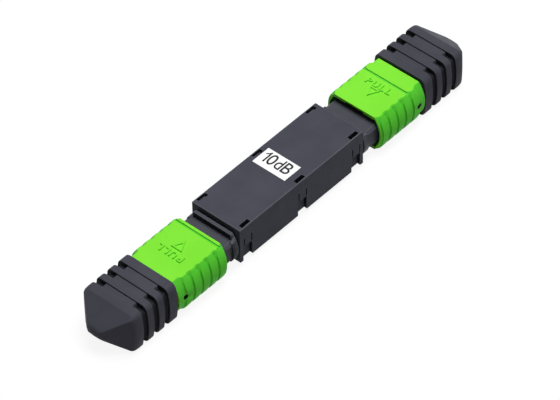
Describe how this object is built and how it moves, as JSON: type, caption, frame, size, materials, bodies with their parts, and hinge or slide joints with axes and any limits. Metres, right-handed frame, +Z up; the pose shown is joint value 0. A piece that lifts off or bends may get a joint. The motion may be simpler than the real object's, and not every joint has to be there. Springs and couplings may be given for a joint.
{
  "type": "fibre optic attenuator",
  "caption": "In-line multi-fibre attenuator: black snap housing with a white rating label, a green push-pull plug at each end and ribbed dust caps that pull off.",
  "frame": {"origin": "under the middle of the housing, on the plane that the dust caps rest on", "axes": "+X along the fibres towards the female end, +Y across, +Z up through the labelled face"},
  "size_m": [0.0894, 0.0124, 0.0083],
  "materials": {
    "housing_black": "fine moulded satin",
    "connector_black": "moulded satin",
    "sleeve_green": "moulded semi-gloss",
    "cap_black": "soft moulded satin",
    "label_white": "printed film",
    "spring_steel": "bright drawn",
    "ferrule_resin": "ground resin",
    "boot_rubber": "moulded",
    "ribbon_coating": "cured coating"
  },
  "bodies": {
    "housing": {"top_cover": "housing_black", "base_tray": "housing_black", "rating_label": "label_white", "fibre_ribbon": "ribbon_coating", "spring_push_female": "connector_black", "plug_frame_female": "connector_black", "spring_push_male": "connector_black", "plug_frame_male": "connector_black", "ferrule_spring_female": "spring_steel", "sleeve_spring_left_female": "spring_steel", "sleeve_spring_right_female": "spring_steel", "ferrule_spring_male": "spring_steel", "sleeve_spring_left_male": "spring_steel", "sleeve_spring_right_male": "spring_steel"},
    "sleeve_female": {"pull_sleeve_female": "sleeve_green"},
    "ferrule_group_female": {"ferrule_female": "ferrule_resin", "ferrule_boot_female": "boot_rubber", "pin_clamp_female": "connector_black"},
    "cap_female": {"dust_cap_female": "cap_black"},
    "sleeve_male": {"pull_sleeve_male": "sleeve_green"},
    "ferrule_group_male": {"ferrule_male": "ferrule_resin", "ferrule_boot_male": "boot_rubber", "pin_clamp_male": "connector_black", "guide_pins_male": "spring_steel"},
    "cap_male": {"dust_cap_male": "cap_black"}
  },
  "joints": [
    {"name": "sleeve_female_slide", "type": "slide", "parent": "housing", "child": "sleeve_female", "axis": [-1, 0, 0], "range_m": [0, 0.0024], "stiffness_N_per_m": 150, "springref_m": -0.002, "deforming": ["sleeve_spring_left_female", "sleeve_spring_right_female"]},
    {"name": "ferrule_female_float", "type": "slide", "parent": "housing", "child": "ferrule_group_female", "axis": [-1, 0, 0], "range_m": [0, 0.0008], "stiffness_N_per_m": 200, "springref_m": -0.002, "deforming": ["ferrule_spring_female"]},
    {"name": "cap_female_slide", "type": "slide", "parent": "housing", "child": "cap_female", "axis": [1, 0, 0], "range_m": [0, 0.02]},
    {"name": "sleeve_male_slide", "type": "slide", "parent": "housing", "child": "sleeve_male", "axis": [1, 0, 0], "range_m": [0, 0.0024], "stiffness_N_per_m": 150, "springref_m": -0.002, "deforming": ["sleeve_spring_left_male", "sleeve_spring_right_male"]},
    {"name": "ferrule_male_float", "type": "slide", "parent": "housing", "child": "ferrule_group_male", "axis": [1, 0, 0], "range_m": [0, 0.0008], "stiffness_N_per_m": 200, "springref_m": -0.002, "deforming": ["ferrule_spring_male"]},
    {"name": "cap_male_slide", "type": "slide", "parent": "housing", "child": "cap_male", "axis": [-1, 0, 0], "range_m": [0, 0.02]}
  ]
}
